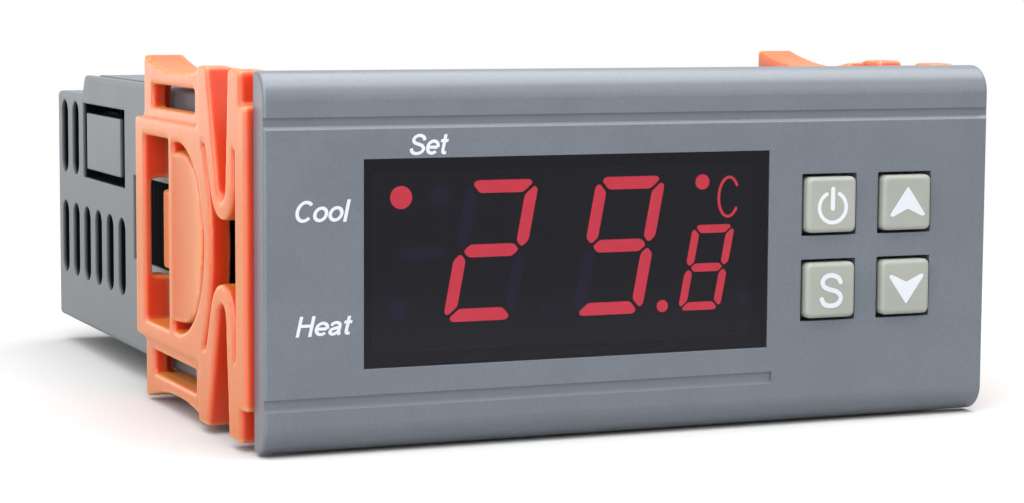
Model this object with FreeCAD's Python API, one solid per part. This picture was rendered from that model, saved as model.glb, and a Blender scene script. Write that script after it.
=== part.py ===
# Panel-mount digital temperature controller for an aquarium.
# A bezel with display and keys closes a tube-like case, two clips hold it in a panel cut-out,
# and a row of screw terminals is reached over the case's rear ledge.
# Frame: origin at the centre of the plane where the bezel seats on the panel,
# +X to the right seen from the front, +Y to the rear, +Z up, in millimetres.
import FreeCAD, Part
import math
import os

V = FreeCAD.Vector

# Overall and fits
DEPTH = 87.4             # bezel face to rear wall
FIT = 0.1                # gap between fixed pieces that slip together
PLAY = 0.2               # gap round pieces that slide
SEAT = 0.05              # gap left at a seat that is pressed home

# Front bezel
BEZEL_W = 75.0
BEZEL_H = 34.5
BEZEL_T = 3.0
BEZEL_ROUND = 2.6        # radius of the long front edges
BEZEL_END_ROUND = 0.35   # radius round the two end faces
TRIM_H = 1.1             # height of the long trim grooves
TRIM_DEPTH = 0.25
TRIM_SLOPE = 0.3         # height of the groove's slanted lower side
TRIM_INSET = 4.1         # bezel edge to the groove's near side
SKIRT_L = 4.5            # skirt that plugs into the case's mouth
SKIRT_T = 1.2
BARB_W = 8.0             # snap barbs on the skirt
BARB_X = 18.0
BARB_H = 0.5
BARB_L = 1.2
BARB_Y = 2.6
BOSS_R = 1.4             # posts that carry the display board
BOSS_X = 29.8
BOSS_Z = 9.5
PEG_R = 0.8

# Display window and display
FACE_Z = -0.15           # height of the centre of the window and of the keys
WINDOW_W = 41.2
WINDOW_H = 19.0
WINDOW_X = -7.5
WINDOW_T = 1.5
WINDOW_SINK = 0.1        # window face below the bezel face
WINDOW_LEDGE = 1.2       # ledge that the window is glued to
DISPLAY_GAP = 0.15       # window back to display face

# Keys and their switches
KEY_SIZE = 5.4
KEY_CORNER = 0.6
KEY_EDGE = 0.45
KEY_PROUD = 0.7
KEY_GAP = 0.3            # bezel's hole round each key
KEY_HOLE_CORNER = 0.12
KEY_X = 23.9             # centre of the key block
KEY_PITCH_X = 8.4
KEY_PITCH_Z = 8.3
KEY_TRAVEL = 0.5
FLANGE = 0.7             # flange that keeps the key behind the bezel: width and thickness
SWITCH_SIZE = 6.0
SWITCH_H = 3.5
PLUNGER_R = 1.7
PLUNGER_REACH = 1.5      # plunger standing out of the switch
PLUNGER_ROOT = 1.35      # plunger inside the switch

# Case
CASE_W = 70.6
CASE_H = 28.8
WALL = 2.0
CASE_EDGE = 0.5          # radius of the long edges
REAR_EDGE = 1.0          # radius round the rear face
LEDGE_DROP = 2.2         # rear ledge below the case top
LEDGE_L = 12.0
RISER_RUN = 1.4          # slope of the riser between case top and ledge
SLOT_W = 3.1
SLOT_L = 8.5
SLOT_PITCH = 5.15
SLOT_END = 3.9           # rear face to the first slot's centre
LOWER_SLOTS = 6
UPPER_SLOTS = 2
LOWER_SLOT_Z = -4.8
UPPER_SLOT_Z = 7.0
KNOCKOUT_GAP = 1.1       # above and below the knock-out
KNOCKOUT_SIDE = 1.9      # before and behind it
WEB_W = 0.6              # webs that hold the knock-out
WEB_T = 0.8
WEB_SHARE = 4.2          # knock-out's front edge to the webs
RAIL_W = 0.9             # case edge to the clip groove
HOOK_SLOT_W = 0.95
HOOK_SLOT_D = 1.1
RACK_H = 9.0             # ratchet channel in each side
RACK_D = 0.9
RACK_START = 4.0
TOOTH_PITCH = 1.5
TOOTH_H = 0.5
GUIDE_T = 0.8            # ribs that the main board slides between
GUIDE_REACH = 1.6
GUIDE_END = 50.0

# Mounting clips; heights are half-heights about the clip's own middle
CLIP_LIFT = 0.3          # clip's middle above the case's middle
CLIP_T = 2.8
CLIP_FRONT = 0.15        # left clip's bar to the bezel
RIGHT_CLIP_BACK = 2.5    # right clip behind the left clip
CLIP_TRAVEL = 17.0       # along the ratchet
BAR_T = 3.15
BAR_STEP = 1.6           # bar's end blocks set back from its middle
BAR_MIDDLE = 13.8
BAR_OVER = 2.55          # bar's ends beyond the case
TIP_Y = 7.45             # centre of each spring's round tip
TIP_Z = 6.65
TIP_R = 3.7
BORE_Y = 7.55            # centre of the tip's inner round
BORE_Z = 6.2
BORE_R = 1.4
SPRING_FRONT = 5.1       # spring's opening at its mouth
SPRING_REAR = 12.3
SLIT = 0.55              # slit beside each limb
SLIT_END = 9.75
LIMB_REAR = 12.8         # rear edge of the rear limb at the slit's end
BODY_FRONT = 10.8        # foremost point of the body's bowed front
BODY_BOW = 17.4
BODY_REAR = 37.6
BODY_TOP = 11.15
LUG_FRONT = 15.2
LUG_REAR = 35.4
LUG_RECESS = 0.4
LUG_T = 1.5              # lug's plate round its window
LUG_ROOF = 1.05          # roof at the scoop's lowest point
LUG_RIDGE = 2.65         # roof at its rear ridge
LUG_LOW_Y = 23.9
LUG_NOSE = 1.9           # roof at its front end
LUG_PLAY = 0.45          # lug over the case
LUG_WINDOW_Y = (17.2, 32.4)
LUG_WINDOW_RIM = 1.0     # thinned plate beyond the window
LUG_WINDOW_LOW = 12.3
LUG_WINDOW_HIGH = 14.6
HOOK_REACH = 1.1
OPENING_Y = (25.3, 34.35)
OPENING_H = 9.4
PAD_Y = 22.4             # centre of the round thumb pad
PAD_R = 8.35
PAD_SLOT = 0.95
PAD_END = 23.8           # front edge of the strip that the pad hangs on
PAD_T = 2.1
DISH_R = 26.0            # hollow in the thumb pad
DISH_DEPTH = 0.5
NOTCH_H = 4.95           # notch in the rear wall, round the pawl
NOTCH_SKIN = 0.9
PAWL_T = 1.2
PAWL_END = 32.4
PAWL_TOOTH = 1.4
PAWL_CLEAR = 0.15        # pawl tooth above the rack's teeth

# Boards
BOARD_T = 1.6
HEADROOM = 1.4           # transformer core to the case roof
BOARD_GAP = 1.65         # display board to main board
HEADER_PINS = 8
HEADER_PITCH = 2.54
HEADER_T = 2.5
PIN_W = 0.64

# Parts on the main board: centre X, centre Y and sizes
CORE_AT = (-14.0, 23.0)
CORE_W = 28.0
CORE_H = 18.0
CORE_STACK = 12.0
LIMB_W = 8.6
YOKE = 4.0
BOBBIN_T = 0.8
BOBBIN_DEPTH = 22.0
WIRE_T = 4.1             # depth of the winding
RELAY_SIZE = (15.5, 19.0, 15.5)
COOLING_RELAY_AT = (-20.0, 47.5)
HEATING_RELAY_AT = (-2.0, 47.5)
CAPACITOR_AT = (10.0, 20.0)
CAPACITOR_R = 5.0
CAPACITOR_H = 16.0
RECTIFIER_AT = (24.0, 17.0)
RECTIFIER_SIZE = (9.0, 7.0, 4.0)
REGULATOR_AT = (24.0, 27.0)
REGULATOR_SIZE = (10.0, 4.6, 9.0)
TAB_T = 1.3
TAB_H = 6.4
CONTROLLER_AT = (14.0, 36.0)
CONTROLLER_SIZE = (13.0, 10.3, 2.6)
BUZZER_AT = (22.0, 50.0)
BUZZER_R = 6.0
BUZZER_H = 9.0

# Terminals
TERMINALS = 8
TERMINAL_PITCH = 7.62
BLOCK_DEPTH = 8.0
BLOCK_WALL = 1.1
BLOCK_FLOOR = 2.5
CLAMP_H = 8.0
WIRE_R = 1.7             # wire way through rear wall, block and clamp
WIRE_RISE = 3.5          # wire way above the clamp's foot
SCREW_R = 1.25
SCREW_HEAD_R = 1.8
SCREW_HEAD_H = 2.2
SCREW_SLOT = 0.6
DRIVER_R = 1.9           # driver hole in the ledge

# Places that follow from the sizes above
CASE_L = DEPTH - BEZEL_T
HALF_W = CASE_W / 2
HALF_H = CASE_H / 2
IN_W = HALF_W - WALL
IN_H = HALF_H - WALL
REAR_IN = CASE_L - WALL
LEDGE_Z = HALF_H - LEDGE_DROP
LEDGE_Y = CASE_L - LEDGE_L
KEY_BACK = SEAT + FLANGE
SWITCH_Y = KEY_BACK + PLUNGER_REACH
DISPLAY_BOARD_Y = SWITCH_Y + SWITCH_H
DISPLAY_Y = WINDOW_SINK + WINDOW_T + DISPLAY_GAP - BEZEL_T
BOARD_Z = IN_H - HEADROOM - CORE_H
BOARD_Y = DISPLAY_BOARD_Y + BOARD_T + BOARD_GAP
BLOCK_BACK = REAR_IN - PLAY
BLOCK_FRONT = BLOCK_BACK - BLOCK_DEPTH
BLOCK_TOP = LEDGE_Z - WALL - PLAY
CLAMP_Z = BOARD_Z + BLOCK_FLOOR
WIRE_Z = CLAMP_Z + WIRE_RISE
TERMINAL_Y = (BLOCK_FRONT + BLOCK_BACK) / 2
CLIP_IN = HALF_W + PLAY
CLIP_OUT = CLIP_IN + CLIP_T
LUG_UNDER = HALF_H + LUG_PLAY
BAR_END = HALF_H + BAR_OVER
HOOK_IN = HALF_W - RAIL_W - HOOK_SLOT_W + PLAY
HOOK_OUT = HALF_W - RAIL_W - PLAY
PAWL_H = RACK_H - 2 * (CLIP_LIFT + PLAY)
RACK_END = CLIP_FRONT + PAWL_END + CLIP_TRAVEL + PLAY
KEYS = {
    "power": (-1, 1),
    "up": (1, 1),
    "set": (-1, -1),
    "down": (1, -1),
}


def spot(axis, u, v):
    """Point of a plane drawing, in the plane that the axis stands on."""
    return {"x": V(0, u, v), "y": V(u, 0, v), "z": V(u, v, 0)}[axis]


def slab(axis, low, high, start, *steps):
    """Closed outline made solid from low to high along an axis. A step of two numbers is a
    straight line to that point, one of four is an arc through the first point to the second."""
    edges = []
    here = start
    for step in steps + (start,):
        stop = tuple(step[-2:])
        if len(step) == 4:
            arc = Part.Arc(spot(axis, *here), spot(axis, *step[:2]), spot(axis, *stop))
            edges.append(arc.toShape())
        elif spot(axis, *here).distanceToPoint(spot(axis, *stop)) > 1e-7:
            edges.append(Part.LineSegment(spot(axis, *here), spot(axis, *stop)).toShape())
        here = stop
    way = {"x": V(1, 0, 0), "y": V(0, 1, 0), "z": V(0, 0, 1)}[axis]
    face = Part.Face(Part.Wire(edges))
    face.translate(way * low)
    return face.extrude(way * (high - low))


def block(x, y, z):
    """Box between two values on each axis."""
    return Part.makeBox(x[1] - x[0], y[1] - y[0], z[1] - z[0], V(x[0], y[0], z[0]))


def tile(axis, low, high, u, v, radius):
    """Rectangle with rounded corners, made solid along an axis."""
    k = radius * (1 - math.sqrt(0.5))
    return slab(
        axis, low, high, (u[0] + radius, v[0]),
        (u[1] - radius, v[0]), (u[1] - k, v[0] + k, u[1], v[0] + radius),
        (u[1], v[1] - radius), (u[1] - k, v[1] - k, u[1] - radius, v[1]),
        (u[0] + radius, v[1]), (u[0] + k, v[1] - k, u[0], v[1] - radius),
        (u[0], v[0] + radius), (u[0] + k, v[0] + k, u[0] + radius, v[0]),
    )


def around(centre, size):
    """The two ends of a length about its middle."""
    return (centre - size / 2, centre + size / 2)


def rod(axis, radius, at, low, high):
    """Round bar along an axis, from low to high, at a point of the plane across it."""
    way = {"x": V(1, 0, 0), "y": V(0, 1, 0), "z": V(0, 0, 1)}[axis]
    return Part.makeCylinder(radius, high - low, spot(axis, *at) + way * low, way)


def mirrored(shape):
    """The same shape on the other side of the middle plane."""
    return shape.mirror(V(0, 0, 0), V(1, 0, 0))


def both_sides(shape):
    """A feature and its twin on the other side."""
    return [shape, mirrored(shape)]


def both_levels(shape):
    """A feature and its twin above or below the middle."""
    return [shape, shape.mirror(V(0, 0, 0), V(0, 0, 1))]


def key_place(name):
    """Centre of a key in the bezel's face."""
    column, row = KEYS[name]
    return (KEY_X + column * KEY_PITCH_X / 2, FACE_Z + row * KEY_PITCH_Z / 2)


def terminal_places():
    """X of each terminal, left to right."""
    middle = (TERMINALS - 1) / 2
    return [(i - middle) * TERMINAL_PITCH for i in range(TERMINALS)]


def board_pegs():
    """Centres of the four posts that carry the display board."""
    return [(x, z) for x in (-BOSS_X, BOSS_X) for z in (-BOSS_Z, BOSS_Z)]


def header_places():
    """X of each pin between the boards."""
    middle = (HEADER_PINS - 1) / 2
    return [(i - middle) * HEADER_PITCH for i in range(HEADER_PINS)]


def barb(grow):
    """One snap barb on the upper side of the skirt, or its pocket in the case when grown."""
    top = IN_H - FIT
    y = around(BARB_Y, BARB_L + 2 * grow)
    return block(around(BARB_X, BARB_W + 2 * grow), y, (top - SKIRT_T / 2, top + BARB_H + grow))


def barbs(grow):
    """The four snap barbs."""
    return [s for half in both_sides(barb(grow)) for s in both_levels(half)]


def trim_groove(top, right):
    """Long groove in the bezel's face below a height, its lower side slanted to the light."""
    face = -BEZEL_T
    floor = face + TRIM_DEPTH
    low = top - TRIM_H
    return slab(
        "x", -BEZEL_W, right, (face - 1, low), (face - 1, top), (floor, top), (floor, low + TRIM_SLOPE),
        (face, low),
    )


def front_bezel():
    """Bezel plate, rounded along its long front edges, with window seat, key holes and skirt."""
    half = BEZEL_H / 2
    k = BEZEL_ROUND * (1 - math.sqrt(0.5))
    front = -BEZEL_T
    plate = slab(
        "x", -BEZEL_W / 2, BEZEL_W / 2, (0, -half),
        (front + BEZEL_ROUND, -half), (front + k, k - half, front, BEZEL_ROUND - half),
        (front, half - BEZEL_ROUND), (front + k, half - k, front + BEZEL_ROUND, half),
        (0, half),
    )
    ends = [e for e in plate.Edges if abs(abs(e.CenterOfMass.x) - BEZEL_W / 2) < 1e-6]
    ends = [e for e in ends if e.CenterOfMass.y < -1e-6]
    plate = plate.makeFillet(BEZEL_END_ROUND, ends)
    window_x = around(WINDOW_X, WINDOW_W)
    window_z = around(FACE_Z, WINDOW_H)
    trim_top = half - TRIM_INSET
    trim_right = window_x[1] + TRIM_H / 2
    cuts = [
        trim_groove(trim_top, BEZEL_W),
        trim_groove(TRIM_H - trim_top, trim_right),
        block(window_x, (front - 1, front + WINDOW_SINK + WINDOW_T), window_z),
        block(
            around(WINDOW_X, WINDOW_W - 2 * WINDOW_LEDGE), (front, 1),
            around(FACE_Z, WINDOW_H - 2 * WINDOW_LEDGE),
        ),
    ]
    hole = KEY_SIZE + 2 * KEY_GAP
    for name in KEYS:
        x, z = key_place(name)
        cuts.append(tile("y", front - 1, 1, around(x, hole), around(z, hole), KEY_HOLE_CORNER))
    plate = plate.cut(cuts)
    outer_w = IN_W - FIT
    outer_h = IN_H - FIT
    skirt = block((-outer_w, outer_w), (0, SKIRT_L), (-outer_h, outer_h))
    inner_w = outer_w - SKIRT_T
    inner_h = outer_h - SKIRT_T
    skirt = skirt.cut(block((-inner_w, inner_w), (-1, SKIRT_L + 1), (-inner_h, inner_h)))
    posts = [rod("y", BOSS_R, at, -BEZEL_T / 2, DISPLAY_BOARD_Y) for at in board_pegs()]
    pegs = [rod("y", PEG_R, at, 0, DISPLAY_BOARD_Y + BOARD_T + PEG_R) for at in board_pegs()]
    return plate.fuse([skirt] + barbs(0) + posts + pegs).removeSplitter()


def display_window():
    """Flat tinted pane glued into the bezel's seat."""
    y = -BEZEL_T + WINDOW_SINK
    gap = 2 * SEAT
    z = around(FACE_Z, WINDOW_H - gap)
    return block(around(WINDOW_X, WINDOW_W - gap), (y, y + WINDOW_T), z)


def key(name):
    """Square key cap with rounded edges and a flange behind the bezel."""
    x, z = key_place(name)
    front = -BEZEL_T - KEY_PROUD
    cap = tile("y", front, KEY_BACK, around(x, KEY_SIZE), around(z, KEY_SIZE), KEY_CORNER)
    rim = [e for e in cap.Edges if abs(e.CenterOfMass.y - front) < 1e-6]
    cap = cap.makeFillet(KEY_EDGE, rim)
    wide = KEY_SIZE + 2 * FLANGE
    return cap.fuse(block(around(x, wide), (SEAT, KEY_BACK), around(z, wide))).removeSplitter()


def plunger(name):
    """Round plunger of a key's switch."""
    return rod("y", PLUNGER_R, key_place(name), KEY_BACK, SWITCH_Y + PLUNGER_ROOT)


def switch(name):
    """Square switch body on the display board, bored for its plunger."""
    x, z = key_place(name)
    body = block(
        around(x, SWITCH_SIZE), (SWITCH_Y, DISPLAY_BOARD_Y), around(z, SWITCH_SIZE),
    )
    well = PLUNGER_ROOT + KEY_TRAVEL + PLAY
    return body.cut(rod("y", PLUNGER_R + PLAY, (x, z), SWITCH_Y - 1, SWITCH_Y + well))


def led_display():
    """Sealed display block that fills the opening behind the window."""
    gap = 2 * (WINDOW_LEDGE + PLAY)
    return block(
        around(WINDOW_X, WINDOW_W - gap), (DISPLAY_Y, DISPLAY_BOARD_Y),
        around(FACE_Z, WINDOW_H - gap),
    )


def display_board():
    """Upright circuit board behind the bezel, on the posts."""
    y = (DISPLAY_BOARD_Y, DISPLAY_BOARD_Y + BOARD_T)
    wide = IN_W - FIT - SKIRT_T
    tall = IN_H - FIT - SKIRT_T
    board = block((-wide, wide), y, (-tall, tall))
    holes = [rod("y", PEG_R + FIT, at, y[0] - 1, y[1] + 1) for at in board_pegs()]
    wide_pin = PIN_W + 2 * FIT
    z = BOARD_Z + HEADER_T / 2
    for x in header_places():
        holes.append(block(around(x, wide_pin), (y[0] - 1, y[1] + 1), around(z, wide_pin)))
    return board.cut(holes)


def board_header():
    """Plastic bar on the main board's front edge that holds the pins."""
    long = HEADER_PINS * HEADER_PITCH
    y = (BOARD_Y, BOARD_Y + HEADER_T)
    bar = block(around(0, long), y, (BOARD_Z, BOARD_Z + HEADER_T))
    way = (y[0] - 1, y[1] - PIN_W)
    z = around(BOARD_Z + HEADER_T / 2, PIN_W)
    return bar.cut([block(around(x, PIN_W), way, z) for x in header_places()])


def header_pins():
    """Square pins from the header into the display board."""
    y = (DISPLAY_BOARD_Y + FIT, BOARD_Y + HEADER_T - PIN_W)
    z = around(BOARD_Z + HEADER_T / 2, PIN_W)
    return Part.makeCompound([block(around(x, PIN_W), y, z) for x in header_places()])


def case_side(inset):
    """Side view of the case as a solid between its walls, shrunk by an inset on every side."""
    lean = math.hypot(RISER_RUN, LEDGE_DROP)
    back = inset * lean / LEDGE_DROP
    slope = RISER_RUN / LEDGE_DROP
    half = HALF_W - inset
    low = inset - HALF_H
    top = HALF_H - inset
    ledge = LEDGE_Z - inset
    foot = LEDGE_Y - back + slope * inset
    brow = LEDGE_Y - RISER_RUN - back + slope * inset
    front = -1 if inset else 0
    rear = CASE_L - inset
    return slab(
        "x", -half, half, (front, low), (rear, low), (rear, ledge), (foot, ledge), (brow, top),
        (front, top),
    )


def vent(row, z):
    """One round-ended vent through the left side."""
    y = around(CASE_L - SLOT_END - row * SLOT_PITCH, SLOT_W)
    return tile("x", -HALF_W - 1, 1 - IN_W, y, around(z, SLOT_L), SLOT_W * 0.49)


def knockout():
    """Gap round the knock-out panel, with its two thin webs left standing on the inside."""
    front = CASE_L - SLOT_END - (LOWER_SLOTS - 1) * SLOT_PITCH - SLOT_W / 2
    rear = CASE_L - SLOT_END - UPPER_SLOTS * SLOT_PITCH + SLOT_W / 2
    z = around(UPPER_SLOT_Z, SLOT_L)
    x = (-HALF_W - 1, 1 - IN_W)
    pad_y = (front + KNOCKOUT_SIDE, rear - KNOCKOUT_SIDE)
    pad_z = (z[0] + KNOCKOUT_GAP, z[1] - KNOCKOUT_GAP)
    ring = block(x, (front, rear), z).cut(block(x, pad_y, pad_z))
    web_y = around(front + KNOCKOUT_SIDE + WEB_SHARE, WEB_W)
    return ring.cut(block((-IN_W - WEB_T, 1 - IN_W), web_y, z))


def rack():
    """Ratchet channel in the left side, less the saw teeth on its floor."""
    floor = -HALF_W + RACK_D
    z = around(0, RACK_H)
    channel = block((-HALF_W - 1, floor), (RACK_START, RACK_END), z)
    teeth = []
    count = int((RACK_END - RACK_START) / TOOTH_PITCH)
    for i in range(count):
        y = RACK_START + i * TOOTH_PITCH
        tooth = slab(
            "z", *z, (floor + 1, y), (floor, y), (floor - TOOTH_H, y + TOOTH_PITCH),
            (floor + 1, y + TOOTH_PITCH),
        )
        teeth.append(tooth)
    return channel.cut(teeth)


def hook_slot():
    """Groove along the upper left edge where the clip's hook runs."""
    x = (RAIL_W - HALF_W, RAIL_W + HOOK_SLOT_W - HALF_W)
    return block(x, (-1, CASE_L + 1), (HALF_H - HOOK_SLOT_D, HALF_H + 1))


def board_guides():
    """Ribs on the left wall, under and over the main board's edge."""
    x = (-IN_W - WALL / 2, GUIDE_REACH - IN_W)
    y = (BOARD_Y, GUIDE_END)
    under = BOARD_Z - BOARD_T - SEAT
    over = BOARD_Z + SEAT
    return [block(x, y, (under - GUIDE_T, under)), block(x, y, (over, over + GUIDE_T))]


def case_shell():
    """Case moulded in one: tube, closed rear with ledge, vents, knock-outs, racks and grooves."""
    shell = case_side(0)
    rear = [e for e in shell.Edges if abs(e.CenterOfMass.y - CASE_L) < 1e-6]
    shell = shell.makeFillet(REAR_EDGE, rear)
    sides = [e for e in shell.Edges if abs(abs(e.CenterOfMass.x) - HALF_W) < 1e-6]
    long = [e for e in sides if e.CenterOfMass.y > 1e-6 and abs(e.CenterOfMass.z) > LEDGE_Z / 2]
    shell = shell.makeFillet(CASE_EDGE, long)
    left = [vent(row, LOWER_SLOT_Z) for row in range(LOWER_SLOTS)]
    left += [vent(row, UPPER_SLOT_Z) for row in range(UPPER_SLOTS)]
    left += [knockout(), rack()]
    cuts = [case_side(WALL)] + barbs(FIT)
    for cut in left:
        cuts += both_sides(cut)
    for groove in both_levels(hook_slot()):
        cuts += both_sides(groove)
    for x in terminal_places():
        cuts.append(rod("y", WIRE_R, (x, WIRE_Z), REAR_IN - 1, CASE_L + 1))
        cuts.append(rod("z", DRIVER_R, (x, TERMINAL_Y), LEDGE_Z - WALL - 1, LEDGE_Z + 1))
    ribs = []
    for rib in board_guides():
        ribs += both_sides(rib)
    return shell.cut(cuts).fuse(ribs).removeSplitter()


def touch(point, centre, radius, side):
    """Point where the line from a point touches a circle, on one side of it."""
    dy = centre[0] - point[0]
    dz = centre[1] - point[1]
    far = math.hypot(dy, dz)
    run = math.sqrt(far * far - radius * radius)
    turn = math.atan2(dz, dy) + side * math.asin(radius / far)
    return (point[0] + run * math.cos(turn), point[1] + run * math.sin(turn))


def clip_outline():
    """Whole side view of a clip as a plate, with its springs closed and its lugs scooped."""
    ridge = LUG_UNDER + LUG_RIDGE
    low = LUG_UNDER + LUG_ROOF
    nose = LUG_UNDER + LUG_NOSE
    return slab(
        "x", -CLIP_OUT, -CLIP_IN, (0, -BAR_MIDDLE), (0, BAR_MIDDLE), (BAR_STEP, BAR_MIDDLE),
        (BAR_STEP, BAR_END), (LUG_FRONT, BAR_END), (LUG_FRONT, nose),
        (LUG_LOW_Y, low, LUG_REAR, ridge), (LUG_REAR, BODY_TOP), (BODY_REAR, BODY_TOP),
        (BODY_REAR, -BODY_TOP), (LUG_REAR, -BODY_TOP), (LUG_REAR, -ridge),
        (LUG_LOW_Y, -low, LUG_FRONT, -nose), (LUG_FRONT, -BAR_END), (BAR_STEP, -BAR_END),
        (BAR_STEP, -BAR_MIDDLE),
    )


def spring_mouth():
    """Upper spring's inside: a wedge from its mouth down to the round of its tip."""
    x = (-CLIP_OUT - 1, 1 - CLIP_IN)
    top = BAR_END + 1
    centre = (BORE_Y, BORE_Z)
    front = touch((SPRING_FRONT, top), centre, BORE_R, -1)
    rear = touch((SPRING_REAR, top), centre, BORE_R, 1)
    return slab(
        "x", *x, (SPRING_FRONT, top), front, (BORE_Y, BORE_Z - BORE_R, *rear), (SPRING_REAR, top),
    )


def spring_gap():
    """Space between bar, body and the two spring tips, with a slit beside each limb."""
    x = (-CLIP_OUT - 1, 1 - CLIP_IN)
    bow = BODY_FRONT + BODY_BOW - math.sqrt(BODY_BOW ** 2 - SLIT_END ** 2)
    space = slab(
        "x", *x, (BAR_T, -SLIT_END), (BAR_T, SLIT_END), (bow, SLIT_END),
        (BODY_FRONT, 0, bow, -SLIT_END),
    )
    centre = (TIP_Y, TIP_Z)
    front = (BAR_T + SLIT, SLIT_END)
    rear = (LIMB_REAR, SLIT_END)
    start = touch(front, centre, TIP_R, -1)
    stop = touch(rear, centre, TIP_R, 1)
    tip = slab(
        "x", *x, (front[0], SLIT_END + 1), front, start, (TIP_Y, TIP_Z - TIP_R, *stop), rear,
        (rear[0], SLIT_END + 1),
    )
    return space.cut(both_levels(tip))


def thumb_pad():
    """Slot round the thumb pad, the hollow on it and the relief behind it."""
    x = (-CLIP_OUT - 1, 1 - CLIP_IN)
    strip = block(x, (PAD_END, BODY_REAR), (-BODY_TOP, BODY_TOP))
    slot = rod("x", PAD_R + PAD_SLOT, (PAD_Y, 0), *x).cut(rod("x", PAD_R, (PAD_Y, 0), *x))
    pad = rod("x", PAD_R, (PAD_Y, 0), *x).cut(strip)
    middle = (PAD_END + PAD_Y - PAD_R) / 2
    at = (DISH_DEPTH - DISH_R - CLIP_OUT, middle)
    dish = pad.common(rod("z", DISH_R, at, -BODY_TOP, BODY_TOP))
    relief = block(
        (PAD_T - CLIP_OUT, 1 - CLIP_IN), (BODY_FRONT - 1, OPENING_Y[0]), around(0, 2 * OPENING_H),
    )
    return [slot.cut(strip), dish, relief]


def pawl():
    """Finger behind the pad's strip, with the tooth that drops into the rack."""
    inner = -HALF_W + RACK_D - TOOTH_H - PAWL_CLEAR
    root = -HALF_W - PLAY - PAWL_CLEAR
    z = around(0, PAWL_H)
    finger = block((root - PAWL_T, root), (PAD_END, PAWL_END), z)
    tooth = slab(
        "z", *z, (root - PAWL_T / 2, PAWL_END - PAWL_TOOTH), (root, PAWL_END - PAWL_TOOTH),
        (inner, PAWL_END), (root - PAWL_T / 2, PAWL_END),
    )
    return [finger, tooth]


def lug_roof():
    """Upper lug's roof over the case and the hook that runs in the case's groove."""
    ridge = LUG_UNDER + LUG_RIDGE
    low = LUG_UNDER + LUG_ROOF
    nose = LUG_UNDER + LUG_NOSE
    roof = slab(
        "x", LUG_RECESS - CLIP_OUT, -HOOK_IN, (LUG_FRONT, LUG_UNDER), (LUG_FRONT, nose),
        (LUG_LOW_Y, low, LUG_REAR, ridge), (LUG_REAR, LUG_UNDER),
    )
    hook = block(
        (-HOOK_OUT, -HOOK_IN), LUG_WINDOW_Y, (LUG_UNDER - HOOK_REACH, LUG_UNDER + LUG_ROOF / 2),
    )
    return [roof, hook]


def clip():
    """Left mounting clip, one springy moulding, with its bar's front face at zero."""
    x = (-CLIP_OUT - 1, 1 - CLIP_IN)
    cuts = both_levels(spring_mouth()) + [spring_gap()] + thumb_pad()
    cuts.append(block(x, OPENING_Y, around(0, 2 * OPENING_H)))
    lug_face = block(
        (-CLIP_OUT - 1, LUG_RECESS - CLIP_OUT), (LUG_FRONT, BODY_REAR), (BODY_TOP, CASE_H),
    )
    cuts += both_levels(lug_face)
    cuts += both_levels(block(x, LUG_WINDOW_Y, (LUG_WINDOW_LOW, LUG_WINDOW_HIGH)))
    thin_y = (LUG_WINDOW_Y[0] - LUG_WINDOW_RIM, LUG_WINDOW_Y[1] + LUG_WINDOW_RIM)
    thin_x = (LUG_T + LUG_RECESS - CLIP_OUT, 1 - CLIP_IN)
    cuts += both_levels(block(thin_x, thin_y, (BODY_TOP, LUG_UNDER)))
    notch = (NOTCH_SKIN - CLIP_OUT, 1 - CLIP_IN)
    cuts.append(block(notch, (OPENING_Y[1] - 1, BODY_REAR + 1), around(0, 2 * NOTCH_H)))
    body = clip_outline().cut(cuts)
    adds = pawl()
    for piece in lug_roof():
        adds += both_levels(piece)
    return body.fuse(adds).removeSplitter()


def left_clip():
    """Clip on the left side, pushed up to the bezel."""
    shape = clip()
    shape.translate(V(0, CLIP_FRONT, CLIP_LIFT))
    return shape


def right_clip():
    """Clip on the right side, standing a little further back."""
    shape = mirrored(clip())
    shape.translate(V(0, CLIP_FRONT + RIGHT_CLIP_BACK, CLIP_LIFT))
    return shape


def main_board():
    """Circuit board lying in the case's guide ribs."""
    wide = IN_W - PLAY
    return block((-wide, wide), (BOARD_Y, BLOCK_BACK), (BOARD_Z - BOARD_T, BOARD_Z))


def on_board(at, size):
    """Box-shaped component standing on the main board."""
    return block(around(at[0], size[0]), around(at[1], size[1]), (BOARD_Z, BOARD_Z + size[2]))


def core_window():
    """The core's two windows, left and right of the middle limb."""
    wide = (CORE_W - LIMB_W) / 2 - YOKE
    x = LIMB_W / 2 + wide / 2
    z = (BOARD_Z + YOKE, BOARD_Z + CORE_H - YOKE)
    y = around(CORE_AT[1], 2 * CORE_STACK)
    return [block(around(CORE_AT[0] + s * x, wide), y, z) for s in (-1, 1)]


def transformer_core():
    """Laminated core with two windows."""
    return on_board(CORE_AT, (CORE_W, CORE_STACK, CORE_H)).cut(core_window())


def bobbin_level():
    """Bottom and top of the bobbin inside the core's windows."""
    return (BOARD_Z + YOKE + FIT, BOARD_Z + CORE_H - YOKE - FIT)


def bobbin_tube(grow):
    """The bobbin's tube as a solid, grown outwards."""
    wide = LIMB_W + 2 * (FIT + grow)
    deep = CORE_STACK + 2 * (FIT + grow)
    return block(around(CORE_AT[0], wide), around(CORE_AT[1], deep), bobbin_level())


def transformer_bobbin():
    """Plastic bobbin round the middle limb, with a flange at each end."""
    low, high = bobbin_level()
    wide = around(CORE_AT[0], CORE_W - 2 * YOKE - 2 * FIT)
    deep = around(CORE_AT[1], BOBBIN_DEPTH)
    flanges = [block(wide, deep, (low, low + BOBBIN_T)), block(wide, deep, (high - BOBBIN_T, high))]
    return bobbin_tube(BOBBIN_T).fuse(flanges).cut(bobbin_tube(0)).removeSplitter()


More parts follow.
